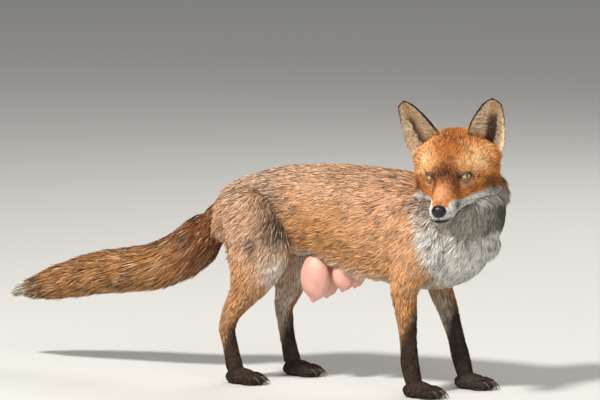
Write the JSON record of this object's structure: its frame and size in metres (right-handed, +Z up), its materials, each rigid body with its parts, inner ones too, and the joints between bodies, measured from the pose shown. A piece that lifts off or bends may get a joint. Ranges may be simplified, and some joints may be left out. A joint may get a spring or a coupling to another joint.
{
  "type": "red fox",
  "caption": "Life-size still model of a red fox vixen in summer coat, standing on four paws with its head turned to look over its right shoulder.",
  "frame": {"origin": "middle of the footprint, on the floor under the soles", "axes": "+X towards the chest, the way the body faces; +Y towards the fox's left side; +Z up"},
  "size_m": [0.8406, 0.2332, 0.4576],
  "materials": {
    "fur_orange": "matte",
    "fur_tan": "matte",
    "fur_brown": "matte",
    "fur_black": "matte",
    "fur_white": "matte",
    "skin_pink": "matte",
    "nose_black": "satin",
    "eye_amber": "gloss"
  },
  "bodies": {
    "root": {"ear_left": "fur_black", "ear_right": "fur_black", "eye_left": "eye_amber", "eye_right": "eye_amber", "forearm_left": "fur_black", "forearm_right": "fur_black", "forepaw_left": "fur_black", "forepaw_right": "fur_black", "gland_middle_left": "skin_pink", "gland_middle_right": "skin_pink", "gland_rear_left": "skin_pink", "gland_rear_right": "skin_pink", "head": "fur_orange", "hindpaw_left": "fur_black", "hindpaw_right": "fur_black", "metatarsus_left": "fur_black", "metatarsus_right": "fur_black", "neck": "fur_orange", "nose": "nose_black", "shank_left": "fur_tan", "shank_right": "fur_tan", "shoulder_left": "fur_tan", "shoulder_right": "fur_tan", "tail_brush": "fur_brown", "tail_root": "fur_brown", "tail_tip": "fur_white", "thigh_left": "fur_tan", "thigh_right": "fur_tan", "trunk": "fur_tan"}
  },
  "joints": []
}
